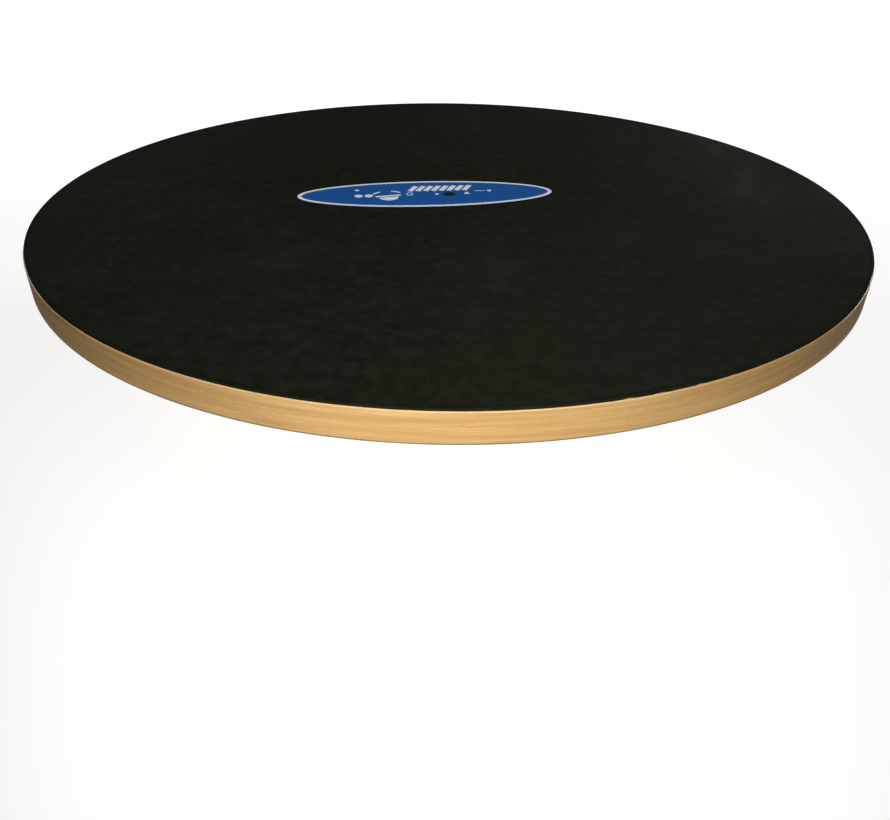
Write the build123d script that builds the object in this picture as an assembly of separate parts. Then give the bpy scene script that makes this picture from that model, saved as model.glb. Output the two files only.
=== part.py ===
from build123d import *

import os

# A wobble balance board: a round, edge-banded deck with a rubber grip mat, standing on a turned half ball.
# Millimetres, +Z up. The origin is the centre of the half ball's flat foot, on the floor.

# Driving dimensions
BOARD_DIAMETER = 508.0
BOARD_THICKNESS = 16.0
LAMINATE_THICKNESS = 0.6
EDGE_BAND_THICKNESS = 1.0
EDGE_BAND_EASE = 0.5
EDGE_BAND_SEAM = 0.2
GLUE_LINE = 0.05

MAT_THICKNESS = 1.2
MAT_INSET = 0.5
MAT_EDGE_EASE = 0.4
MAT_HOLE_DIAMETER = 8.3

LABEL_LENGTH = 166.0
LABEL_WIDTH = 50.0
LABEL_THICKNESS = 0.25
LABEL_HOLE_DIAMETER = 8.4
LABEL_OFFSET = (-15.0, 0.0)
LABEL_TURN = 6.0

BALL_DIAMETER = 133.0
BALL_HEIGHT = 61.0
BALL_LAND = 6.0
BALL_CHAMFER = 0.8

SCREW_LENGTH = 60.0
SCREW_HEAD_DIAMETER = 8.0
SCREW_HEAD_RIM = 0.4
SCREW_HEAD_DROP = 0.2
SCREW_SHANK_DIAMETER = 2.9
SCREW_CREST_DIAMETER = 4.0
SCREW_ROOT_DIAMETER = 2.6
SCREW_THREAD_TURNS = 18
SCREW_THREAD_PITCH = 2.0
SCREW_TIP_LENGTH = 5.0
SCREW_CLEARANCE = 0.1
THREAD_SLACK = 0.05
DRIVE_WIDTH = 4.0
DRIVE_SLOT = 1.0
DRIVE_DEPTH = 1.8
DRIVE_TURN = 25.0

DOWEL_DIAMETER = 8.0
DOWEL_LENGTH = 24.0
DOWEL_CHAMFER = 0.8
DOWEL_SPREAD = 76.0
DOWEL_HOLE_DEPTH = 12.5
FLUTE_COUNT = 12
FLUTE_RADIUS = 0.35

# Levels above the floor, from the foot up
BOARD_BOTTOM = BALL_HEIGHT
CORE_BOTTOM = BOARD_BOTTOM + LAMINATE_THICKNESS
BOARD_TOP = BOARD_BOTTOM + BOARD_THICKNESS
CORE_TOP = BOARD_TOP - LAMINATE_THICKNESS
MAT_TOP = BOARD_TOP + MAT_THICKNESS
SCREW_TOP = MAT_TOP - SCREW_HEAD_DROP
HEAD_RIM_BOTTOM = SCREW_TOP - SCREW_HEAD_RIM

# Radii
BOARD_RADIUS = BOARD_DIAMETER / 2
CORE_RADIUS = BOARD_RADIUS - EDGE_BAND_THICKNESS - GLUE_LINE
BALL_RADIUS = BALL_DIAMETER / 2
HEAD_RADIUS = SCREW_HEAD_DIAMETER / 2
SHANK_RADIUS = SCREW_SHANK_DIAMETER / 2
CREST_RADIUS = SCREW_CREST_DIAMETER / 2
ROOT_RADIUS = SCREW_ROOT_DIAMETER / 2

DOWEL_PLACES = {"left": -DOWEL_SPREAD / 2, "right": DOWEL_SPREAD / 2}


def disc(radius, bottom, top):
    """A plain round plate between two levels."""
    plate = Cylinder(radius, top - bottom, align=(Align.CENTER, Align.CENTER, Align.MIN))
    return Pos(0, 0, bottom) * plate


def turned(points):
    """The solid that an outline of (radius, height) points sweeps about the vertical axis."""
    outline = Polyline([(radius, 0, height) for radius, height in points], close=True)
    return revolve(make_face(outline), axis=Axis.Z)


def screw_outline(slack=0.0):
    """Half the centre screw's section from the tip up, as (radius, height) points, with slack all round."""
    tip = SCREW_TOP - SCREW_LENGTH
    thread_bottom = tip + SCREW_TIP_LENGTH
    thread_top = thread_bottom + SCREW_THREAD_TURNS * SCREW_THREAD_PITCH
    points = []
    for turn in range(SCREW_THREAD_TURNS):
        root_level = thread_bottom + turn * SCREW_THREAD_PITCH
        points.append((ROOT_RADIUS, root_level))
        points.append((CREST_RADIUS, root_level + SCREW_THREAD_PITCH / 2))
    points.append((ROOT_RADIUS, thread_top))
    points.append((SHANK_RADIUS, thread_top + SHANK_RADIUS - ROOT_RADIUS))
    points.append((SHANK_RADIUS, HEAD_RIM_BOTTOM - (HEAD_RADIUS - SHANK_RADIUS)))
    points.append((HEAD_RADIUS, HEAD_RIM_BOTTOM))
    points.append((HEAD_RADIUS, SCREW_TOP))
    grown = [(radius + slack, level) for radius, level in points]
    return [(0, tip - slack), *grown, (0, SCREW_TOP)]


def deck_screw_hole():
    """The clearance hole through the deck, countersunk so that the screw's head seats on it."""
    wall = CREST_RADIUS + SCREW_CLEARANCE
    points = [
        (0, BOARD_BOTTOM - BOARD_THICKNESS),
        (wall, BOARD_BOTTOM - BOARD_THICKNESS),
        (wall, HEAD_RIM_BOTTOM - (HEAD_RADIUS - wall)),
        (HEAD_RADIUS, HEAD_RIM_BOTTOM),
        (HEAD_RADIUS, MAT_TOP),
        (0, MAT_TOP),
    ]
    return turned(points)


def dowel_holes():
    """One hole for each dowel, as deep in the deck as in the half ball."""
    hole = Cylinder(DOWEL_DIAMETER / 2 + GLUE_LINE, 2 * DOWEL_HOLE_DEPTH)
    return [Pos(x, 0, BOARD_BOTTOM) * hole for x in DOWEL_PLACES.values()]


def deck_core():
    """The fibreboard disc that carries the load."""
    return disc(CORE_RADIUS, CORE_BOTTOM, CORE_TOP) - deck_screw_hole() - dowel_holes()


def upper_laminate():
    """The balancing laminate that the grip mat is glued to."""
    return disc(CORE_RADIUS, CORE_TOP, BOARD_TOP) - deck_screw_hole()


def underside_laminate():
    """The pale face laminate that shows under the deck."""
    return disc(CORE_RADIUS, BOARD_BOTTOM, CORE_BOTTOM) - deck_screw_hole() - dowel_holes()


def edge_band():
    """The band round the deck's edge, with eased outer arrises and a butt seam at the back."""
    band = disc(BOARD_RADIUS, BOARD_BOTTOM, BOARD_TOP)
    band = fillet(band.edges().filter_by(GeomType.CIRCLE), EDGE_BAND_EASE)
    band -= disc(CORE_RADIUS + GLUE_LINE, BOARD_BOTTOM, BOARD_TOP)
    seam = Box(EDGE_BAND_SEAM, 4 * EDGE_BAND_THICKNESS, 2 * BOARD_THICKNESS)
    return band - Pos(0, BOARD_RADIUS, (BOARD_BOTTOM + BOARD_TOP) / 2) * seam


def grip_mat():
    """The rubber sheet that the feet stand on, with its cut edge softened."""
    mat = disc(BOARD_RADIUS - MAT_INSET, BOARD_TOP, MAT_TOP)
    top_edge = mat.edges().filter_by(GeomType.CIRCLE).sort_by(Axis.Z)[-1]
    return fillet(top_edge, MAT_EDGE_EASE) - disc(MAT_HOLE_DIAMETER / 2, BOARD_TOP, MAT_TOP)


def oval_label():
    """The oval printed label on the mat, pierced where the screw head shows."""
    x, y = LABEL_OFFSET
    oval = Pos(x, y, MAT_TOP) * Rot(0, 0, LABEL_TURN) * Ellipse(LABEL_LENGTH / 2, LABEL_WIDTH / 2)
    label = extrude(oval, LABEL_THICKNESS, dir=(0, 0, 1))
    return label - disc(LABEL_HOLE_DIAMETER / 2, MAT_TOP, MAT_TOP + LABEL_THICKNESS)


def centre_screw():
    """The countersunk cross-drive wood screw that pulls the half ball up to the deck."""
    screw = turned(screw_outline())
    for angle in (DRIVE_TURN, DRIVE_TURN + 90):
        slot = Box(DRIVE_WIDTH, DRIVE_SLOT, 2 * DRIVE_DEPTH)
        screw -= Pos(0, 0, SCREW_TOP) * Rot(0, 0, angle) * slot
    return screw


def half_ball():
    """The turned rocker: a short straight land, a large round shoulder and a small flat foot."""
    shoulder = BALL_HEIGHT - BALL_LAND
    foot_radius = BALL_RADIUS - shoulder
    outline = [
        Line((0, 0), (foot_radius, 0)),
        RadiusArc((foot_radius, 0), (BALL_RADIUS, shoulder), -shoulder),
        Line((BALL_RADIUS, shoulder), (BALL_RADIUS, BALL_HEIGHT - BALL_CHAMFER)),
        Line((BALL_RADIUS, BALL_HEIGHT - BALL_CHAMFER), (BALL_RADIUS - BALL_CHAMFER, BALL_HEIGHT)),
        Line((BALL_RADIUS - BALL_CHAMFER, BALL_HEIGHT), (0, BALL_HEIGHT)),
        Line((0, BALL_HEIGHT), (0, 0)),
    ]
    ball = revolve(Plane.XZ * make_face(outline), axis=Axis.Z)
    screw_print = turned(screw_outline(THREAD_SLACK))
    return ball - screw_print - dowel_holes()


def dowel(x):
    """A fluted hardwood dowel that keeps the half ball from turning under the deck."""
    pin = Cylinder(DOWEL_DIAMETER / 2, DOWEL_LENGTH)
    pin = chamfer(pin.edges().filter_by(GeomType.CIRCLE), DOWEL_CHAMFER)
    flute = Cylinder(FLUTE_RADIUS, 2 * DOWEL_LENGTH)
    pin -= PolarLocations(DOWEL_DIAMETER / 2, FLUTE_COUNT) * flute
    return Pos(x, 0, BOARD_BOTTOM) * pin


def main():
    pieces = {
        "deck_core": deck_core(),
        "upper_laminate": upper_laminate(),
        "underside_laminate": underside_laminate(),
        "edge_band": edge_band(),
        "grip_mat": grip_mat(),
        "oval_label": oval_label(),
        "centre_screw": centre_screw(),
        "half_ball": half_ball(),
    }
    for side, x in DOWEL_PLACES.items():
        pieces[f"dowel_{side}"] = dowel(x)
    os.makedirs("parts", exist_ok=True)
    for name, piece in pieces.items():
        export_step(piece, f"parts/{name}.step")


main()
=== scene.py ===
"""Looks for a wobble balance board: fine meshes, materials, floor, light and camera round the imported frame.

Metres, in the part's own frame: +Z up, the origin under the half ball, the label read from the -Y side.
An angle round the board starts at the front (-Y) and grows towards the right (+X).
"""

import math

import bmesh
import bpy
from mathutils import Euler, Matrix, Vector


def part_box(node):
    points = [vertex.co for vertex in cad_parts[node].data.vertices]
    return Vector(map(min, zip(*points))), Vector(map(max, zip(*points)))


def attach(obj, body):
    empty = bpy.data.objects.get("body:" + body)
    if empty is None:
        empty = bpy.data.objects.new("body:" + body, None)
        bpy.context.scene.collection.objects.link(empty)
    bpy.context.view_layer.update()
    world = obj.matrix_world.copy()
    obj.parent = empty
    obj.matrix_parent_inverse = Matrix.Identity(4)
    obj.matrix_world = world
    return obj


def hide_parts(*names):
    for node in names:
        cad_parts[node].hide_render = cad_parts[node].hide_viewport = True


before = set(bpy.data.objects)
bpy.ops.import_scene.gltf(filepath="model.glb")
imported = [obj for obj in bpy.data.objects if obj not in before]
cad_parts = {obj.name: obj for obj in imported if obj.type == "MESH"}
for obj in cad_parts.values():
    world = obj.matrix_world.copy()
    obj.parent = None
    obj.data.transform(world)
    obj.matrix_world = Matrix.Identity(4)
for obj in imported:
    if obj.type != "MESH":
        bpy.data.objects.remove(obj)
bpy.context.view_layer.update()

MM = 0.001

# Meshing: points closer than the weld distance are one point, edges that bend less than a soft edge
# are shaded smooth, and each round piece has its steps
WELD_DISTANCE = 0.0005 * MM
SOFT_EDGE = math.radians(32.0)
SCREW_SOFT_EDGE = math.radians(40.0)
MAT_STEPS = 1080
BAND_STEPS = 960
BALL_STEPS = 240
SCREW_STEPS = 160
LABEL_STEPS = 288
DOWEL_HOLE_STEPS = 64

# What the frame gives
MAT_LOW, MAT_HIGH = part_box("grip_mat")
BAND_LOW, BAND_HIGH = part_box("edge_band")
BALL_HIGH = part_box("half_ball")[1]
SCREW_LOW, SCREW_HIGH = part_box("centre_screw")
LABEL_LOW, LABEL_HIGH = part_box("oval_label")
BOARD_RADIUS = BAND_HIGH.x
MAT_RADIUS = MAT_HIGH.x
BALL_RADIUS = BALL_HIGH.x
HEAD_RADIUS = SCREW_HIGH.x

# Edge band
BAND_THICKNESS = 1.0 * MM
BAND_EASE = 0.5 * MM
BAND_SEAM = 0.2 * MM
BAND_RIPPLE = 0.02 * MM

# Grip mat, with the small nicks in its trimmed edge as (angle and half width in degrees, depth), and
# the loops of its top face in millimetres out from the hole, closer together in the dimple
MAT_EASE = 0.4 * MM
MAT_HOLE_RADIUS = 4.15 * MM
MAT_TRIM = 0.05 * MM
MAT_NICKS = (
    (16.6, 0.5, 0.7 * MM),
    (19.8, 0.8, 0.4 * MM),
    (24.3, 0.5, 0.5 * MM),
    (28.2, 0.4, 0.35 * MM),
    (-41.0, 0.4, 0.3 * MM),
    (131.0, 0.6, 0.4 * MM),
    (-152.0, 0.5, 0.35 * MM),
)
DIMPLE_DEPTH = 0.22 * MM
DIMPLE_REACH = 3.5 * MM
MAT_LOOPS = (0.3, 0.8, 1.5, 2.5, 4.0, 6.0, 9.0, 16.0, 40.0, 80.0, 130.0, 180.0, 220.0, 240.0, 248.0)

# Label
LABEL_TURN = math.radians(6.0)
LABEL_HOLE_RADIUS = 4.2 * MM
FILM_THICKNESS = 0.19 * MM
INK_THICKNESS = 0.03 * MM
BORDER_INSET = 0.12 * MM
BORDER_WIDTH = 2.5 * MM
FILM_RIM_INSET = 0.1 * MM
INK_LOW = LABEL_LOW.z + FILM_THICKNESS - INK_THICKNESS
INK_HIGH = LABEL_LOW.z + FILM_THICKNESS + INK_THICKNESS

# Half ball
BALL_LAND = 6.0 * MM
BALL_CHAMFER = 0.8 * MM
TOOL_MARK_PITCH = 2.6 * MM
TOOL_MARK_DEPTH = 0.02 * MM
TOOL_MARK_SLANT = 0.3
TOOL_MARK_START = 4 * MM
PILOT_RADIUS = 1.35 * MM
DOWEL_CLEARANCE = 0.05 * MM
DOWEL_GAP = 0.5 * MM

# Screw
HEAD_RIM = 0.4 * MM
HEAD_EASE = 0.12 * MM
SHANK_RADIUS = 1.45 * MM
CREST_RADIUS = 2.0 * MM
ROOT_RADIUS = 1.3 * MM
THREAD_PITCH = 2.0 * MM
THREAD_LENGTH = 36.0 * MM
THREAD_LOOPS = 216
RIDGE_HALF_WIDTH = 0.28
TIP_LENGTH = 5.0 * MM
TIP_LOOPS = 15
DRIVE_REACH = 2.1 * MM
DRIVE_HALF_WIDTH = 0.5 * MM
DRIVE_DEPTH = 1.8 * MM
DRIVE_TURN = math.radians(25.0)
DRIVE_LOOPS = 34

# Camera: its distance back and up in board radii, its lens, and how far it looks down and leans
CAMERA_BACK = 2.0132
CAMERA_UP = 0.6724
CAMERA_ASIDE = -1.0 * MM
LENS_MM = 32.32
LOOK_DOWN = math.radians(33.6)
LEAN = math.radians(0.7)

# Room light: below the first height on the sky it has the first strength, above the second the second
SKY_HEIGHTS = (0.06, 0.26)
SKY_STRENGTHS = (0.18, 0.05)

# Floor: how far it reaches, and how far under the foot it lies so that the two faces don't fight
FLOOR_REACH = 30.0
FLOOR_LEVEL = -0.1 * MM


# ---------------------------------------------------------------- meshes


def smooth(value, low, high):
    """0 below low, 1 above high and an even curve between."""
    share = min(1.0, max(0.0, (value - low) / (high - low)))
    return share * share * (3 - 2 * share)


def rings(angle, waves):
    """A gentle unevenness round the board, between -1 and 1, from (count, share, phase) waves."""
    return sum(share * math.sin(count * angle + phase) for count, share, phase in waves)


def weld(mesh, repair):
    """Joins doubled points in a mesh and runs one more repair on it."""
    work = bmesh.new()
    work.from_mesh(mesh)
    bmesh.ops.remove_doubles(work, verts=work.verts, dist=WELD_DISTANCE)
    repair(work)
    work.to_mesh(mesh)
    work.free()


def face_outwards(work):
    """Turns every face of a closed mesh to look outwards."""
    bmesh.ops.recalc_face_normals(work, faces=work.faces)


def drop_slivers(work):
    """Takes out the edges and faces that have no size."""
    bmesh.ops.dissolve_degenerate(work, edges=work.edges, dist=WELD_DISTANCE)


def add_piece(name, points, faces, material, replaces=(), sharp=SOFT_EDGE):
    """Makes a closed, smooth-shaded mesh piece that rides on the board."""
    mesh = bpy.data.meshes.new(name)
    mesh.from_pydata(points, [], faces)
    weld(mesh, face_outwards)
    mesh.shade_smooth()
    mesh.set_sharp_from_angle(angle=sharp)
    mesh.materials.append(material)
    piece = bpy.data.objects.new(name, mesh)
    bpy.context.scene.collection.objects.link(piece)
    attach(piece, "root")
    if replaces:
        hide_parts(*replaces)
    return piece


def lathe(profile, steps, shape=None, gap=0.0, ring=True):
    """Sweeps a profile of (radius, height) points round the vertical axis and returns points and faces.

    shape(angle, radius, height) may move a point. gap is an angle left open at the back, where the
    two ends are capped. ring closes the profile on itself, as a hollow ring's section is.
    """
    columns = steps + 1 if gap else steps
    span = 2 * math.pi - gap
    points = []
    for column in range(columns):
        angle = -math.pi + gap / 2 + span * column / steps
        for radius, height in profile:
            if shape:
                radius, height = shape(angle, radius, height)
            points.append((radius * math.sin(angle), -radius * math.cos(angle), height))
    count = len(profile)
    sides = count if ring else count - 1
    faces = []
    for column in range(steps):
        here, there = column * count, (column + 1) % columns * count
        for row in range(sides):
            above = (row + 1) % count
            faces.append((here + row, there + row, there + above, here + above))
    if gap:
        faces.append(tuple(range(count)))
        faces.append(tuple(range(steps * count, (steps + 1) * count))[::-1])
    return points, faces


def arc(centre, radius, start, end, steps):
    """Points on a quarter or so of a circle in a profile, from one angle in degrees to another."""
    angles = [math.radians(start + (end - start) * step / steps) for step in range(steps + 1)]
    return [(centre[0] + radius * math.cos(a), centre[1] + radius * math.sin(a)) for a in angles]


def dimple(distance):
    """How far the screw has drawn the mat and the label down at a distance from its axis."""
    return DIMPLE_DEPTH * math.exp(-(((distance - MAT_HOLE_RADIUS) / DIMPLE_REACH) ** 2))


def mat_sheet(material):
    """The rubber sheet: a hand-trimmed edge with a few nicks, and a dimple round the screw."""
    bottom, top = MAT_LOW.z, MAT_HIGH.z
    waves = ((5, 0.4, 0.7), (13, 0.35, 2.1), (37, 0.25, 4.4))

    def shape(angle, radius, height):
        if radius > MAT_RADIUS - 6 * MAT_EASE:
            trim = MAT_TRIM * (1 + rings(angle, waves))
            for place, half_width, depth in MAT_NICKS:
                away = abs(math.degrees(angle) - place) / half_width
                trim += depth * max(0.0, 1 - away) ** 0.6
            radius -= trim * smooth(radius, MAT_RADIUS - 6 * MAT_EASE, MAT_RADIUS - MAT_EASE)
        if height > top - MAT_EASE / 2:
            height -= dimple(radius)
        return radius, height

    profile = [(MAT_HOLE_RADIUS, bottom), (MAT_RADIUS, bottom)]
    profile += arc((MAT_RADIUS - MAT_EASE, top - MAT_EASE), MAT_EASE, 0, 90, 5)
    profile += [(MAT_RADIUS - 4 * MAT_EASE, top)]
    profile += [(MAT_HOLE_RADIUS + out * MM, top) for out in reversed(MAT_LOOPS)]
    profile += [(MAT_HOLE_RADIUS, top - MAT_EASE / 4)]
    points, faces = lathe(profile, MAT_STEPS, shape)
    add_piece("mat_sheet", points, faces, material, ["grip_mat"])


def band_strip(material):
    """The band glued round the deck: eased arrises, a faint waviness and a butt seam at the back."""
    low, high = BAND_LOW.z, BAND_HIGH.z
    inner = BOARD_RADIUS - BAND_THICKNESS
    waves = ((4, 0.4, 1.2), (11, 0.35, 3.0), (29, 0.25, 0.4))

    def shape(angle, radius, height):
        if radius > inner + BAND_THICKNESS / 4:
            radius -= BAND_RIPPLE * (1 + rings(angle, waves))
        return radius, height

    profile = [(inner, low)]
    profile += arc((BOARD_RADIUS - BAND_EASE, low + BAND_EASE), BAND_EASE, -90, 0, 5)
    profile += [(BOARD_RADIUS, low + (high - low) * share) for share in (0.2, 0.5, 0.8)]
    profile += arc((BOARD_RADIUS - BAND_EASE, high - BAND_EASE), BAND_EASE, 0, 90, 5)
    profile += [(inner, high)]
    points, faces = lathe(profile, BAND_STEPS, shape, gap=BAND_SEAM / BOARD_RADIUS)
    add_piece("band_strip", points, faces, material, ["edge_band"])


def turned_ball(material):
    """The half ball off the lathe: faint tool marks, a flat foot, the screw's pilot hole and dowel holes."""
    top = BALL_HIGH.z
    shoulder = top - BALL_LAND
    foot_radius = BALL_RADIUS - shoulder
    marks_end = top - 2 * BALL_CHAMFER

    def shape(angle, radius, height):
        if radius > 2 * PILOT_RADIUS and TOOL_MARK_START < height < marks_end:
            fade = smooth(height, TOOL_MARK_START, 4 * TOOL_MARK_START)
            mark = math.sin(2 * math.pi * (height + TOOL_MARK_SLANT * radius) / TOOL_MARK_PITCH)
            radius -= TOOL_MARK_DEPTH * fade * (1 + mark)
        return radius, height

    profile = [(0, 0), (foot_radius * 0.4, 0), (foot_radius * 0.8, 0)]
    profile += arc((foot_radius, shoulder), shoulder, -90, 0, 132)
    profile += [(BALL_RADIUS, shoulder + (BALL_LAND - BALL_CHAMFER) * step / 8) for step in range(1, 8)]
    profile += [(BALL_RADIUS, top - BALL_CHAMFER), (BALL_RADIUS - BALL_CHAMFER, top)]
    profile += [(BALL_RADIUS * 0.7, top), (BALL_RADIUS * 0.3, top), (PILOT_RADIUS, top)]
    pilot_bottom = SCREW_LOW.z
    profile += [(PILOT_RADIUS, pilot_bottom + PILOT_RADIUS), (0, pilot_bottom)]
    points, faces = lathe(profile, BALL_STEPS, shape, ring=False)
    ball = add_piece("turned_ball", points, faces, material, ["half_ball"])
    drill_dowel_holes(ball)


def drill_dowel_holes(piece):
    """Cuts a blind hole for each dowel down from the half ball's flat top."""
    cutter_mesh = bpy.data.meshes.new("dowel_holes")
    work = bmesh.new()
    for node in ("dowel_left", "dowel_right"):
        low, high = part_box(node)
        radius = (high.y - low.y) / 2 + DOWEL_CLEARANCE
        bottom = low.z - DOWEL_GAP
        place = Matrix.Translation(((low.x + high.x) / 2, 0.0, (bottom + high.z) / 2))
        bmesh.ops.create_cone(
            work,
            cap_ends=True,
            segments=DOWEL_HOLE_STEPS,
            radius1=radius,
            radius2=radius,
            depth=high.z - bottom,
            matrix=place,
        )
    work.to_mesh(cutter_mesh)
    work.free()
    cutter = bpy.data.objects.new("dowel_holes", cutter_mesh)
    bpy.context.scene.collection.objects.link(cutter)
    cut = piece.modifiers.new("dowel_holes", "BOOLEAN")
    cut.operation, cut.solver, cut.object = "DIFFERENCE", "EXACT", cutter
    shaped = piece.evaluated_get(bpy.context.evaluated_depsgraph_get())
    drilled = bpy.data.meshes.new_from_object(shaped)
    piece.modifiers.clear()
    piece.data = drilled
    bpy.data.objects.remove(cutter)
    weld(drilled, drop_slivers)
    drilled.set_sharp_from_angle(angle=SOFT_EDGE)


def screw_body(material):
    """The countersunk screw with a helical thread, a gimlet point and a cross recess."""
    tip, top = SCREW_LOW.z, SCREW_HIGH.z
    thread_low, thread_high = tip + TIP_LENGTH, tip + TIP_LENGTH + THREAD_LENGTH
    rim = top - HEAD_RIM

    def thread(angle, radius, height):
        phase = (height / THREAD_PITCH - angle / (2 * math.pi)) % 1.0
        ridge = max(0.0, 1 - abs(phase - 0.5) / RIDGE_HALF_WIDTH)
        fade = smooth(height, tip, thread_low) * (1 - smooth(height, thread_high - THREAD_PITCH, thread_high))
        return radius + (CREST_RADIUS - ROOT_RADIUS) * ridge * fade, height

    def recess(angle, radius, height):
        turn = angle - DRIVE_TURN
        across, along = sorted((abs(radius * math.sin(turn)), abs(radius * math.cos(turn))))
        wing = 1 - smooth(across, DRIVE_HALF_WIDTH * 0.72, DRIVE_HALF_WIDTH)
        wing *= 1 - smooth(along, DRIVE_REACH * 0.82, DRIVE_REACH)
        return radius, height - DRIVE_DEPTH * wing * (1 - 0.3 * (along / DRIVE_REACH) ** 2)

    def shape(angle, radius, height):
        if height >= top - HEAD_EASE / 2 and radius < HEAD_RADIUS - 2 * HEAD_EASE:
            return recess(angle, radius, height)
        if 0 < radius < SHANK_RADIUS * 0.99:
            return thread(angle, radius, height)
        return radius, height

    profile = [(0, tip)]
    shares = [step / TIP_LOOPS for step in range(1, TIP_LOOPS)]
    profile += [(ROOT_RADIUS * (0.1 + 0.9 * share), tip + TIP_LENGTH * share) for share in shares]
    levels = [thread_low + THREAD_LENGTH * step / THREAD_LOOPS for step in range(THREAD_LOOPS + 1)]
    profile += [(ROOT_RADIUS, level) for level in levels]
    profile += [(SHANK_RADIUS, thread_high + 0.3 * MM), (SHANK_RADIUS, rim - (HEAD_RADIUS - SHANK_RADIUS))]
    profile += [(HEAD_RADIUS, rim), (HEAD_RADIUS, top - HEAD_EASE), (HEAD_RADIUS - HEAD_EASE, top)]
    profile += [(HEAD_RADIUS - 3 * HEAD_EASE, top)]
    profile += [(DRIVE_REACH * 1.1 * (1 - step / DRIVE_LOOPS), top) for step in range(DRIVE_LOOPS)]
    profile += [(0, top)]
    points, faces = lathe(profile, SCREW_STEPS, shape, ring=False)
    add_piece("screw_body", points, faces, material, ["centre_screw"], SCREW_SOFT_EDGE)


# ---------------------------------------------------------------- label


def label_axes():
    """The oval's centre and its half length and half width, from the box of the turned oval."""
    centre = (LABEL_LOW + LABEL_HIGH) / 2
    reach = (LABEL_HIGH - LABEL_LOW) / 2
    total = reach.x**2 + reach.y**2
    split = (reach.x**2 - reach.y**2) / math.cos(2 * LABEL_TURN)
    return centre, math.sqrt((total + split) / 2), math.sqrt((total - split) / 2)


LABEL_CENTRE, LABEL_HALF_LENGTH, LABEL_HALF_WIDTH = label_axes()


def on_label(along, across):
    """A place on the label, along and across its own axes, in the board's frame."""
    turn_cos, turn_sin = math.cos(LABEL_TURN), math.sin(LABEL_TURN)
    x = LABEL_CENTRE.x + along * turn_cos - across * turn_sin
    y = LABEL_CENTRE.y + along * turn_sin + across * turn_cos
    return x, y


def oval_point(angle, inset):
    """A point on the oval's outline, moved inwards along the outline's normal."""
    along, across = LABEL_HALF_LENGTH * math.cos(angle), LABEL_HALF_WIDTH * math.sin(angle)
    normal = Vector((along / LABEL_HALF_LENGTH**2, across / LABEL_HALF_WIDTH**2)).normalized()
    return on_label(along - inset * normal.x, across - inset * normal.y)


def loop_sheet(loops):
    """Joins closed loops of points, each the same length, into a closed solid skin."""
    count = len(loops[0])
    points = [point for loop in loops for point in loop]
    faces = []
    for index in range(len(loops)):
        here, there = index * count, (index + 1) % len(loops) * count
        for step in range(count):
            after = (step + 1) % count
            faces.append((here + step, here + after, there + after, there + step))
    return points, faces


def label_film(material):
    """The oval film itself, soft at its rim and drawn down round the screw."""
    low, high = LABEL_LOW.z, LABEL_LOW.z + FILM_THICKNESS
    loops = []

    def loop(inset, share, height):
        """A loop part of the way from the inset outline to the hole, share 0 to 1."""
        line = []
        for step in range(LABEL_STEPS):
            x, y = oval_point(2 * math.pi * step / LABEL_STEPS, inset)
            distance = math.hypot(x, y)
            reach = LABEL_HOLE_RADIUS + (distance - LABEL_HOLE_RADIUS) * (1 - share)
            x, y = x * reach / distance, y * reach / distance
            line.append((x, y, height - dimple(reach)))
        loops.append(line)

    loop(0, 0, low)
    loop(0, 0, high - 0.06 * MM)
    loop(0.03 * MM, 0, high - 0.02 * MM)
    loop(FILM_RIM_INSET, 0, high)
    for share in (0.1, 0.3, 0.5, 0.7, 0.85, 0.93, 0.97, 1.0):
        loop(FILM_RIM_INSET, share, high)
    loop(0, 1.0, low)
    for share in (0.93, 0.7, 0.3):
        loop(0, share, low)
    points, faces = loop_sheet(loops)
    add_piece("label_film", points, faces, material, ["oval_label"])


def label_border(material):
    """The printed line that runs just inside the oval's edge."""
    outer, inner = BORDER_INSET, BORDER_INSET + BORDER_WIDTH
    angles = [2 * math.pi * step / LABEL_STEPS for step in range(LABEL_STEPS)]
    loops = []
    for inset, height in ((outer, INK_LOW), (outer, INK_HIGH), (inner, INK_HIGH), (inner, INK_LOW)):
        loops.append([(*oval_point(angle, inset), height) for angle in angles])
    points, faces = loop_sheet(loops)
    add_piece("label_border", points, faces, material)


def bar(along, across, length, width, lean):
    """A slanted bar as an outline on the label, in millimetres and degrees."""
    turn = math.radians(lean)
    direction, side = (math.cos(turn), math.sin(turn)), (-math.sin(turn), math.cos(turn))
    corners = []
    for end, edge in ((-1, -1), (1, -1), (1, 1), (-1, 1)):
        u = along + end * length / 2 * direction[0] + edge * width / 2 * side[0]
        v = across + end * length / 2 * direction[1] + edge * width / 2 * side[1]
        corners.append((u, v))
    return corners


def round_mark(along, across, radius, start=0.0, end=360.0, steps=28):
    """A dot, or the part of a dot between two angles, as an outline on the label in millimetres."""
    angles = [math.radians(start + (end - start) * step / steps) for step in range(steps)]
    if end - start < 360:
        angles.append(math.radians(end))
    return [(along + radius * math.cos(a), across + radius * math.sin(a)) for a in angles]


def curved_mark(along, across, radius, width, start, end, steps=12):
    """A short curved stroke as an outline on the label, in millimetres and degrees."""
    angles = [math.radians(start + (end - start) * step / steps) for step in range(steps + 1)]
    outer, inner = radius + width / 2, radius - width / 2
    far = [(along + outer * math.cos(a), across + outer * math.sin(a)) for a in angles]
    near = [(along + inner * math.cos(a), across + inner * math.sin(a)) for a in reversed(angles)]
    return far + near


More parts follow.
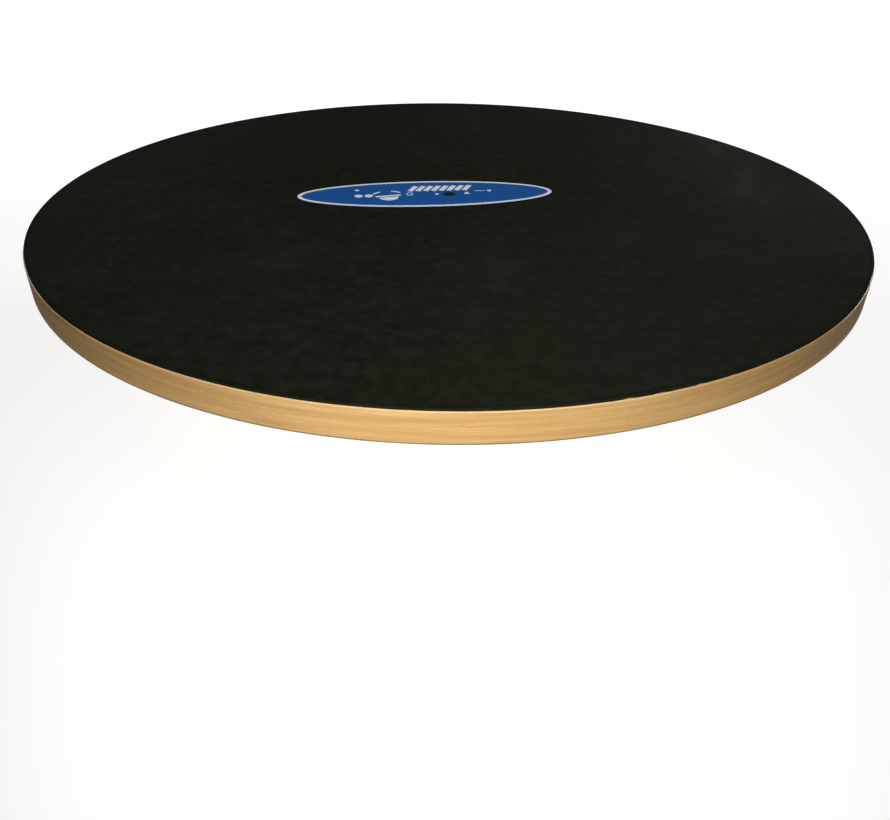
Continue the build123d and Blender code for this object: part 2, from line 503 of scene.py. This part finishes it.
def label_marks(material):
    """Generic marks: a tilted board on a half ball with sway strokes, a row of slanted bars and dots."""
    marks = [
        round_mark(-24.5, -5.6, 6.3, 180 + 9, 360 + 9),
        bar(-24.8, -3.2, 16.5, 2.2, 9),
        curved_mark(-24.5, -5.5, 11.5, 1.5, 48, 80),
        curved_mark(-24.5, -5.5, 11.5, 1.5, 118, 150),
        round_mark(-43.8, -2.4, 2.7),
        round_mark(-37.4, -2.4, 2.7),
        round_mark(-44.7, 9.0, 1.5),
        curved_mark(-10.7, -0.6, 2.3, 0.8, 20, 160),
        curved_mark(-10.7, -0.6, 2.3, 0.8, 200, 340),
        round_mark(7.0, -1.6, 1.2),
        round_mark(26.6, -0.9, 2.5, 90, 450, 3),
        bar(35.5, 3.2, 7, 0.6, 0),
        round_mark(41.8, 3.2, 1.5),
    ]
    marks += [bar(-8.0 + 5.1 * index, 9.9, 10.8, 3.4, 64) for index in range(8)]
    points, faces = [], []
    for outline in marks:
        first, count = len(points), len(outline)
        flat = [on_label(u * MM, v * MM) for u, v in outline]
        points += [(x, y, INK_LOW) for x, y in flat] + [(x, y, INK_HIGH) for x, y in flat]
        faces.append(tuple(range(first, first + count))[::-1])
        faces.append(tuple(range(first + count, first + 2 * count)))
        for step in range(count):
            after = (step + 1) % count
            faces.append((first + step, first + after, first + count + after, first + count + step))
    add_piece("label_marks", points, faces, material)


# ---------------------------------------------------------------- materials


class Finish:
    """A material under construction: each method adds a node and returns the socket that it gives."""

    def __init__(self, name):
        self.material = bpy.data.materials.new(name)
        self.material.use_nodes = True
        self.tree = self.material.node_tree
        self.shader = self.tree.nodes["Principled BSDF"]

    def put(self, socket, value):
        if isinstance(value, bpy.types.NodeSocket):
            self.tree.links.new(value, socket)
        else:
            socket.default_value = value

    def node(self, kind, inputs, out=0, **settings):
        made = self.tree.nodes.new("ShaderNode" + kind)
        for name, value in settings.items():
            setattr(made, name, value)
        for key, value in inputs.items():
            self.put(made.inputs[key], value)
        return made.outputs[out]

    def place(self):
        """The point on the surface, in metres in the board's frame."""
        return self.node("TexCoord", {}, out="Object")

    def split(self, vector):
        made = self.node("SeparateXYZ", {0: vector}).node
        return made.outputs

    def join(self, x, y, z):
        return self.node("CombineXYZ", {0: x, 1: y, 2: z})

    def sum(self, kind, first, second=0.0, third=0.0):
        return self.node("Math", {0: first, 1: second, 2: third}, operation=kind)

    def stretch(self, vector, scale, turn=(0, 0, 0), shift=(0, 0, 0)):
        return self.node("Mapping", {"Vector": vector, "Scale": scale, "Rotation": turn, "Location": shift})

    def noise(self, vector, scale, detail=2.0, roughness=0.5, distortion=0.0):
        inputs = {"Vector": vector, "Scale": scale, "Detail": detail}
        inputs.update({"Roughness": roughness, "Distortion": distortion})
        return self.node("TexNoise", inputs)

    def cells(self, vector, scale, feature="F1"):
        return self.node("TexVoronoi", {"Vector": vector, "Scale": scale}, feature=feature)

    def fit(self, value, low, high, to_low=0.0, to_high=1.0):
        """Takes the stretch from low to high to another stretch, and stops at its ends."""
        return self.node("MapRange", {0: value, 1: low, 2: high, 3: to_low, 4: to_high})

    def ramp(self, value, *stops):
        """A run of colours, each stop as (place, (red, green, blue))."""
        made = self.node("ValToRGB", {0: value}).node
        while len(made.color_ramp.elements) < len(stops):
            made.color_ramp.elements.new(1.0)
        for element, (place, colour) in zip(made.color_ramp.elements, stops):
            element.position = place
            element.color = (*colour, 1.0)
        return made.outputs[0]

    def mix(self, share, first, second, kind="MIX"):
        first, second = [c if isinstance(c, bpy.types.NodeSocket) else (*c, 1.0) for c in (first, second)]
        return self.node("Mix", {0: share, 6: first, 7: second}, out=2, data_type="RGBA", blend_type=kind)

    def bump(self, height, distance, strength=1.0, under=None):
        inputs = {"Height": height, "Distance": distance, "Strength": strength}
        if under:
            inputs["Normal"] = under
        return self.node("Bump", inputs)

    def done(self, **sockets):
        """Sets the shader's sockets by name, with underscores for spaces, and gives the material."""
        for name, value in sockets.items():
            if isinstance(value, tuple):
                value = (*value, 1.0)
            self.put(self.shader.inputs[name.replace("_", " ")], value)
        return self.material


def rubber_finish():
    """Black rubber with a hammered grain, dust in the low spots and feet's faint polish."""
    f = Finish("grip_rubber_black")
    place = f.place()
    pebbles = f.cells(place, 460.0, "SMOOTH_F1")
    grit = f.noise(place, 2600.0, 2.0, 0.6)
    mottle = f.noise(place, 150.0, 3.0, 0.6)
    patches = f.noise(place, 7.0, 4.0, 0.55)
    scuffs = f.noise(place, 17.0, 5.0, 0.62, 0.5)
    dust = f.sum("MULTIPLY", f.fit(grit, 0.56, 0.75), f.fit(patches, 0.42, 0.68))
    tone = f.mix(f.fit(patches, 0.35, 0.65), (0.0060, 0.0077, 0.0040), (0.0090, 0.0108, 0.0060))
    tone = f.mix(f.fit(mottle, 0.38, 0.66, 0.0, 0.75), tone, (0.0138, 0.0156, 0.0100))
    tone = f.mix(f.fit(scuffs, 0.56, 0.70, 0.0, 0.45), tone, (0.0190, 0.0200, 0.0140))
    tone = f.mix(f.fit(pebbles, 0.35, 0.1, 0.0, 0.35), tone, (0.0190, 0.0200, 0.0130))
    tone = f.mix(f.sum("MULTIPLY", dust, 0.22), tone, (0.045, 0.044, 0.034))
    height = f.split(place)[2]
    cut_edge = f.fit(height, MAT_HIGH.z - 0.15 * MM, MAT_HIGH.z - 0.5 * MM, 0.0, 0.6)
    tone = f.mix(cut_edge, tone, (0.018, 0.014, 0.010))
    relief = f.bump(pebbles, 0.25 * MM, 0.8)
    relief = f.bump(grit, 0.03 * MM, 0.5, relief)
    gloss = f.sum("ADD", f.fit(patches, 0.3, 0.7, 0.72, 0.86), f.fit(scuffs, 0.5, 0.75, 0.0, -0.08))
    return f.done(
        Base_Color=tone,
        Roughness=gloss,
        Normal=relief,
        Specular_IOR_Level=0.02,
        Specular_Tint=(1.0, 0.98, 0.70),
    )


def band_finish():
    """Lacquered wood-grain band: streaks along the rim, fine pores, painted shade along the lower arris and a
    painted highlight along the top arris.
    """
    f = Finish("band_lacquered_grain")
    x, y, z = f.split(f.place())
    angle = f.sum("ARCTAN2", x, f.sum("MULTIPLY", y, -1.0))
    along = f.sum("MULTIPLY", angle, BOARD_RADIUS)
    drift = f.noise(f.join(along, 0.0, 0.0), 9.0, 2.0, 0.5)
    level = f.sum("ADD", z, f.sum("MULTIPLY", f.sum("SUBTRACT", drift, 0.5), 5 * MM))
    rolled_out = f.join(along, level, 0.0)
    figure = f.noise(f.stretch(rolled_out, (11.0, 420.0, 1.0)), 1.0, 4.0, 0.6, 0.4)
    streaks = f.noise(f.stretch(rolled_out, (30.0, 1500.0, 1.0), shift=(0, 0, 3)), 1.0, 3.0, 0.6)
    pores = f.noise(f.stretch(rolled_out, (260.0, 4200.0, 1.0), shift=(0, 0, 7)), 1.0, 1.0, 0.5)
    clouds = f.noise(f.stretch(rolled_out, (1.0, 4.0, 1.0), shift=(0, 0, 9)), 16.0, 2.0, 0.5)
    light, middle, dark = (0.60, 0.392, 0.170), (0.52, 0.320, 0.122), (0.42, 0.240, 0.084)
    tone = f.ramp(figure, (0.30, dark), (0.50, middle), (0.70, light))
    tone = f.mix(f.fit(streaks, 0.42, 0.70, 0.0, 0.55), tone, (0.39, 0.210, 0.072))
    tone = f.mix(f.fit(pores, 0.62, 0.74, 0.0, 0.55), tone, (0.24, 0.115, 0.034))
    tone = f.mix(f.fit(clouds, 0.3, 0.7, 0.0, 0.25), tone, (0.56, 0.38, 0.165))
    low, high = BAND_LOW.z, BAND_HIGH.z
    # Painted shade: darker along the lower eased arris, which faces down away from the light.
    painted_lower_edge_shade = f.fit(z, low + 0.45 * MM, low + 1.2 * MM, 0.85, 0.0)
    # Painted highlight: paler along the top eased arris, which faces up into the light.
    painted_top_edge_highlight = f.fit(z, high - 0.7 * MM, high - 0.25 * MM, 0.0, 0.65)
    tone = f.mix(painted_lower_edge_shade, tone, (0.14, 0.075, 0.03))
    tone = f.mix(painted_top_edge_highlight, tone, (0.70, 0.50, 0.27))
    relief = f.bump(streaks, 0.02 * MM, 0.35)
    relief = f.bump(f.fit(pores, 0.6, 0.75), -0.02 * MM, 0.4, relief)
    gloss = f.fit(figure, 0.3, 0.7, 0.42, 0.30)
    return f.done(
        Base_Color=tone,
        Roughness=gloss,
        Normal=relief,
        Specular_IOR_Level=0.25,
        Coat_Weight=0.3,
        Coat_Roughness=0.04,
    )


def turned_wood_finish():
    """Solid brown wood cut across its growth rings, with the grain running up the half ball, and painted
    shade towards its foot.
    """
    f = Finish("turned_wood_brown")
    grain = f.stretch(f.place(), (1, 1, 1), (math.radians(4), math.radians(-9), 0.4), (0.105, 0.06, 0.0))
    wobble = f.noise(f.stretch(grain, (1, 1, 0.15)), 24.0, 3.0, 0.5)
    x, y = f.split(grain)[:2]
    from_pith = f.sum("SQRT", f.sum("ADD", f.sum("POWER", x, 2.0), f.sum("POWER", y, 2.0)))
    from_pith = f.sum("ADD", from_pith, f.sum("MULTIPLY", f.sum("SUBTRACT", wobble, 0.5), 14 * MM))
    year = f.sum("POWER", f.sum("FRACT", f.sum("DIVIDE", from_pith, 5.2 * MM)), 2.0)
    bands = f.noise(f.stretch(grain, (1, 1, 0.03)), 130.0, 2.0, 0.5)
    fibres = f.noise(f.stretch(grain, (1, 1, 0.022)), 520.0, 3.0, 0.6)
    pores = f.noise(f.stretch(grain, (1, 1, 0.035)), 1700.0, 1.0, 0.5)
    patches = f.noise(grain, 16.0, 2.0, 0.5)
    tone = f.mix(f.fit(year, 0.1, 0.95), (0.370, 0.206, 0.062), (0.205, 0.102, 0.027))
    tone = f.mix(f.fit(bands, 0.38, 0.66, 0.0, 0.55), tone, (0.170, 0.082, 0.022))
    tone = f.mix(f.fit(bands, 0.48, 0.30, 0.0, 0.40), tone, (0.490, 0.300, 0.105))
    tone = f.mix(f.fit(fibres, 0.42, 0.68, 0.0, 0.50), tone, (0.135, 0.063, 0.018))
    tone = f.mix(f.fit(pores, 0.62, 0.74, 0.0, 0.55), tone, (0.070, 0.031, 0.009))
    tone = f.mix(f.fit(patches, 0.35, 0.7, 0.0, 0.35), tone, (0.275, 0.118, 0.038))
    height = f.split(f.place())[2]
    # Painted shade: darker at the foot, where it stands on the floor.
    tone = f.mix(f.fit(height, 0.0, 3.0 * MM, 0.5, 0.0), tone, (0.090, 0.058, 0.032))
    # Painted shade: darker from near the top of the half ball down towards the foot, its lower side facing
    # away from the light.
    tone = f.mix(f.fit(height, 58 * MM, 10 * MM, 0.0, 0.48), tone, (0.090, 0.048, 0.016))
    relief = f.bump(fibres, 0.03 * MM, 0.4)
    relief = f.bump(f.fit(pores, 0.6, 0.75), -0.04 * MM, 0.4, relief)
    gloss = f.sum("ADD", f.fit(fibres, 0.3, 0.7, 0.36, 0.46), f.fit(height, 0.0, 4.0 * MM, 0.25, 0.0))
    return f.done(
        Base_Color=tone,
        Roughness=gloss,
        Normal=relief,
        Specular_IOR_Level=0.35,
        Coat_Weight=0.1,
        Coat_Roughness=0.2,
    )


def face_laminate_finish():
    """Glossy grey-beige laminate with a faint printed grain and a slight orange peel."""
    f = Finish("face_laminate_grey_beige")
    place = f.place()
    grain = f.noise(f.stretch(place, (9.0, 330.0, 1.0)), 1.0, 4.0, 0.6, 0.3)
    fine = f.noise(f.stretch(place, (60.0, 2200.0, 1.0)), 1.0, 2.0, 0.6)
    clouds = f.noise(place, 9.0, 3.0, 0.5)
    peel = f.noise(place, 420.0, 2.0, 0.5)
    light, middle, dark = (0.500, 0.432, 0.312), (0.470, 0.400, 0.285), (0.432, 0.362, 0.252)
    tone = f.ramp(grain, (0.30, dark), (0.52, middle), (0.75, light))
    tone = f.mix(f.fit(fine, 0.5, 0.75, 0.0, 0.2), tone, (0.360, 0.290, 0.195))
    tone = f.mix(f.fit(clouds, 0.35, 0.7, 0.0, 0.25), tone, (0.415, 0.352, 0.255))
    relief = f.bump(peel, 0.02 * MM, 0.35)
    gloss = f.fit(clouds, 0.3, 0.7, 0.16, 0.24)
    return f.done(Base_Color=tone, Roughness=gloss, Normal=relief, Coat_Weight=0.7, Coat_Roughness=0.05)


def film_finish():
    """Blue printed film: slight mottling, hairline scratches and a satin face."""
    f = Finish("label_film_blue")
    place = f.place()
    mottle = f.noise(place, 260.0, 3.0, 0.6)
    clouds = f.noise(place, 22.0, 2.0, 0.5)
    hairs = f.noise(f.stretch(place, (45.0, 1500.0, 1.0), (0, 0, 0.7)), 1.0, 2.0, 0.5)
    tone = f.mix(f.fit(clouds, 0.3, 0.7), (0.0024, 0.084, 0.350), (0.0038, 0.104, 0.410))
    tone = f.mix(f.fit(mottle, 0.45, 0.7, 0.0, 0.25), tone, (0.008, 0.130, 0.460))
    tone = f.mix(f.fit(hairs, 0.68, 0.76, 0.0, 0.25), tone, (0.12, 0.22, 0.45))
    relief = f.bump(mottle, 0.01 * MM, 0.4)
    gloss = f.fit(hairs, 0.55, 0.75, 0.34, 0.5)
    return f.done(
        Base_Color=tone,
        Roughness=gloss,
        Normal=relief,
        Specular_IOR_Level=0.2,
        Specular_Tint=(0.35, 0.65, 1.0),
    )


def ink_finish():
    """White print, a little thin and uneven over the blue film."""
    f = Finish("label_ink_white")
    place = f.place()
    cover = f.noise(place, 900.0, 3.0, 0.65)
    wear = f.noise(place, 75.0, 3.0, 0.6)
    tone = f.mix(f.fit(cover, 0.40, 0.68, 0.0, 0.30), (0.86, 0.92, 0.97), (0.60, 0.72, 0.88))
    tone = f.mix(f.fit(wear, 0.60, 0.75, 0.0, 0.35), tone, (0.50, 0.62, 0.80))
    relief = f.bump(cover, 0.01 * MM, 0.4)
    gloss = f.fit(wear, 0.3, 0.7, 0.42, 0.58)
    return f.done(Base_Color=tone, Roughness=gloss, Normal=relief)


def black_steel_finish():
    """Black oxide steel, with the bright rub of a driver round the recess and on the head's edge."""
    f = Finish("screw_black_oxide")
    place = f.place()
    x, y = f.split(place)[:2]
    from_axis = f.sum("SQRT", f.sum("ADD", f.sum("POWER", x, 2.0), f.sum("POWER", y, 2.0)))
    grains = f.noise(place, 2400.0, 3.0, 0.6)
    rub = f.noise(place, 900.0, 2.0, 0.6)
    near_drive = f.fit(from_axis, 2.7 * MM, 1.4 * MM)
    near_edge = f.fit(from_axis, HEAD_RADIUS - 0.5 * MM, HEAD_RADIUS - 0.1 * MM)
    bright = f.sum("MULTIPLY", f.sum("MAXIMUM", near_drive, near_edge), f.fit(rub, 0.50, 0.64, 0.0, 0.6))
    tone = f.mix(f.fit(grains, 0.35, 0.7), (0.006, 0.006, 0.0065), (0.014, 0.0135, 0.013))
    tone = f.mix(bright, tone, (0.11, 0.105, 0.10))
    relief = f.bump(grains, 0.02 * MM, 0.5)
    gloss = f.sum("SUBTRACT", f.fit(grains, 0.3, 0.7, 0.42, 0.58), f.sum("MULTIPLY", bright, 0.2))
    return f.done(Base_Color=tone, Roughness=gloss, Normal=relief, Metallic=0.35, Specular_IOR_Level=0.2)


def fibreboard_finish():
    """Fibreboard: a felt of short brown fibres, denser and darker in specks."""
    f = Finish("fibreboard_core")
    place = f.place()
    felt = f.noise(f.stretch(place, (1, 1, 2.2)), 1400.0, 4.0, 0.65)
    specks = f.cells(f.stretch(place, (1, 1, 1.6)), 700.0)
    patches = f.noise(place, 30.0, 3.0, 0.5)
    tone = f.mix(f.fit(felt, 0.35, 0.68), (0.50, 0.335, 0.190), (0.34, 0.215, 0.112))
    tone = f.mix(f.fit(specks, 0.18, 0.05, 0.0, 0.5), tone, (0.20, 0.115, 0.055))
    tone = f.mix(f.fit(patches, 0.35, 0.7, 0.0, 0.3), tone, (0.44, 0.30, 0.175))
    relief = f.bump(felt, 0.06 * MM, 0.6)
    return f.done(Base_Color=tone, Roughness=f.fit(felt, 0.3, 0.7, 0.78, 0.92), Normal=relief)


def backing_laminate_finish():
    """Plain backing laminate: paper brown with resin clouds and sanding streaks on its face."""
    f = Finish("backing_laminate_brown")
    place = f.place()
    clouds = f.noise(place, 26.0, 4.0, 0.6)
    sanding = f.noise(f.stretch(place, (30.0, 1800.0, 1.0), (0, 0, 0.2)), 1.0, 2.0, 0.6)
    tone = f.ramp(clouds, (0.3, (0.30, 0.235, 0.165)), (0.7, (0.385, 0.315, 0.235)))
    tone = f.mix(f.fit(sanding, 0.5, 0.72, 0.0, 0.4), tone, (0.46, 0.40, 0.32))
    relief = f.bump(sanding, 0.03 * MM, 0.5)
    return f.done(Base_Color=tone, Roughness=f.fit(clouds, 0.3, 0.7, 0.6, 0.75), Normal=relief)


def dowel_finish():
    """Pale beech with short darker flecks along the dowel."""
    f = Finish("dowel_beech")
    place = f.place()
    fibres = f.noise(f.stretch(place, (1, 1, 0.05)), 1500.0, 3.0, 0.6)
    flecks = f.noise(f.stretch(place, (1, 1, 0.3)), 1600.0, 1.0, 0.5)
    tone = f.ramp(fibres, (0.3, (0.47, 0.315, 0.180)), (0.7, (0.64, 0.465, 0.295)))
    tone = f.mix(f.fit(flecks, 0.60, 0.72, 0.0, 0.6), tone, (0.30, 0.165, 0.078))
    relief = f.bump(fibres, 0.04 * MM, 0.6)
    return f.done(Base_Color=tone, Roughness=f.fit(fibres, 0.3, 0.7, 0.62, 0.78), Normal=relief)


# ---------------------------------------------------------------- floor, light and camera


def floor():
    """A plain pale floor that brightens into the white backdrop, and is seen through from below it."""
    f = Finish("floor_pale")
    seen = f.node("LightPath", {}, out="Is Camera Ray")
    distance = f.node("VectorMath", {0: f.place()}, out="Value", operation="LENGTH")
    tone = f.mix(seen, (0.20, 0.20, 0.20), (0.48, 0.48, 0.48))
    foot, dark, bounce, room = (0.11, 0.095, 0.07), (0, 0, 0), (0.40, 0.36, 0.30), (0.14, 0.125, 0.10)
    stops = ((0.09, foot), (0.20, bounce), (0.26, bounce), (0.32, dark), (0.45, dark), (1.0, room))
    backdrop = f.ramp(distance, (0.4, (0.72, 0.72, 0.72)), (1.0, (1.0, 1.0, 1.0)))
    glow = f.mix(seen, f.ramp(distance, *stops), backdrop)
    f.done(Base_Color=tone, Roughness=0.9, Specular_IOR_Level=0.0)
    f.done(Emission_Color=glow, Emission_Strength=1.0)
    clear = f.node("BsdfTransparent", {})
    backfacing = f.node("NewGeometry", {}, out="Backfacing")
    surface = f.node("MixShader", {0: backfacing, 1: f.shader.outputs[0], 2: clear})
    f.tree.links.new(surface, f.tree.nodes["Material Output"].inputs["Surface"])
    mesh = bpy.data.meshes.new("floor")
    ways = ((-1, -1), (1, -1), (1, 1), (-1, 1))
    corners = [(x * FLOOR_REACH, y * FLOOR_REACH, FLOOR_LEVEL) for x, y in ways]
    mesh.from_pydata(corners, [], [(0, 1, 2, 3)])
    mesh.materials.append(f.material)
    plane = bpy.data.objects.new("floor", mesh)
    bpy.context.scene.collection.objects.link(plane)


def sky():
    """A dim room with a paler band round the horizon, in front of a white backdrop."""
    world = bpy.data.worlds.new("studio")
    bpy.context.scene.world = world
    world.use_nodes = True
    tree = world.node_tree
    room, backdrop = tree.nodes["Background"], tree.nodes.new("ShaderNodeBackground")
    room.inputs["Color"].default_value = (1.0, 0.975, 0.93, 1.0)
    backdrop.inputs["Color"].default_value = (1.0, 1.0, 1.0, 1.0)
    backdrop.inputs["Strength"].default_value = 1.0
    place, split = tree.nodes.new("ShaderNodeTexCoord"), tree.nodes.new("ShaderNodeSeparateXYZ")
    band = tree.nodes.new("ShaderNodeMapRange")
    for socket, value in zip(band.inputs[1:5], SKY_HEIGHTS + SKY_STRENGTHS):
        socket.default_value = value
    path, join = tree.nodes.new("ShaderNodeLightPath"), tree.nodes.new("ShaderNodeMixShader")
    tree.links.new(place.outputs["Generated"], split.inputs[0])
    tree.links.new(split.outputs[2], band.inputs[0])
    tree.links.new(band.outputs[0], room.inputs["Strength"])
    tree.links.new(path.outputs["Is Camera Ray"], join.inputs[0])
    tree.links.new(room.outputs[0], join.inputs[1])
    tree.links.new(backdrop.outputs[0], join.inputs[2])
    tree.links.new(join.outputs[0], tree.nodes["World Output"].inputs["Surface"])


def softbox(name, place, target, width, height, power, colour=(1.0, 1.0, 1.0), spread=180.0, mirrored=True):
    """A rectangular lamp that faces a target, hidden from the camera and, if not mirrored, from gloss."""
    lamp = bpy.data.lights.new(name, "AREA")
    lamp.shape, lamp.size, lamp.size_y = "RECTANGLE", width, height
    lamp.energy, lamp.color, lamp.spread = power, colour, math.radians(spread)
    holder = bpy.data.objects.new(name, lamp)
    holder.location = place
    holder.rotation_euler = (Vector(target) - Vector(place)).to_track_quat("-Z", "Y").to_euler()
    holder.visible_camera = False
    holder.visible_glossy = mirrored
    bpy.context.scene.collection.objects.link(holder)


def lights():
    """A near key, a low fill, a soft top light, rear lights, back lamps for the far rim and a cool window."""
    centre = (0.0, 0.0, MAT_HIGH.z)
    warm, cream, cool = (1.0, 0.985, 0.96), (1.0, 0.99, 0.93), (0.72, 0.74, 1.0)
    near_rim = (0.0, -0.25, 0.07)
    softbox("key", (0.0, -0.78, 0.37), near_rim, 0.14, 0.12, 0.35, warm, spread=42.0, mirrored=False)
    softbox("fill", (0.0, -2.0, 0.13), (0.0, 0.0, 0.04), 1.4, 0.16, 2.0)
    softbox("top", (0.0, 0.2, 3.0), (0.0, 0.2, 0.0), 3.5, 3.5, 14.0)
    softbox("rear_right", (1.9, 2.7, 1.2), centre, 1.2, 0.8, 31.0, cream)
    softbox("rear_left", (-1.9, 2.7, 1.2), centre, 1.2, 0.8, 11.0)
    for side in (-1.3, 1.3):
        softbox("back", (side, 1.5, 0.45), centre, 0.8, 0.4, 15.0, mirrored=False)
    for height in (0.148, 0.252):
        softbox("window", (1.88, 0.62, height), centre, 0.27, 0.094, 1.3, cool)


def camera():
    """The viewpoint: above and in front of the board, looking down on it, leaning a little to one side."""
    lens = bpy.data.cameras.new("camera")
    lens.sensor_width = 36.0
    lens.lens = LENS_MM
    lens.clip_start = 0.01
    holder = bpy.data.objects.new("camera", lens)
    back, up = CAMERA_BACK * BOARD_RADIUS, CAMERA_UP * BOARD_RADIUS
    holder.location = (CAMERA_ASIDE, -back, MAT_HIGH.z + up)
    turn = Euler((math.pi / 2 - LOOK_DOWN, 0.0, 0.0)).to_matrix() @ Euler((0.0, 0.0, LEAN)).to_matrix()
    holder.rotation_euler = turn.to_euler()
    bpy.context.scene.collection.objects.link(holder)
    bpy.context.scene.camera = holder


# ---------------------------------------------------------------- the scene


def dress(node, material):
    """Gives a CAD node its material."""
    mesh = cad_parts[node].data
    mesh.materials.clear()
    mesh.materials.append(material)


camera()
floor()
sky()
lights()
bpy.context.scene.view_settings.view_transform = "Standard"

mat_sheet(rubber_finish())
band_strip(band_finish())
turned_ball(turned_wood_finish())
screw_body(black_steel_finish())
label_film(film_finish())
INK = ink_finish()
label_border(INK)
label_marks(INK)

BEECH = dowel_finish()
dress("deck_core", fibreboard_finish())
dress("upper_laminate", backing_laminate_finish())
dress("underside_laminate", face_laminate_finish())
dress("dowel_left", BEECH)
dress("dowel_right", BEECH)
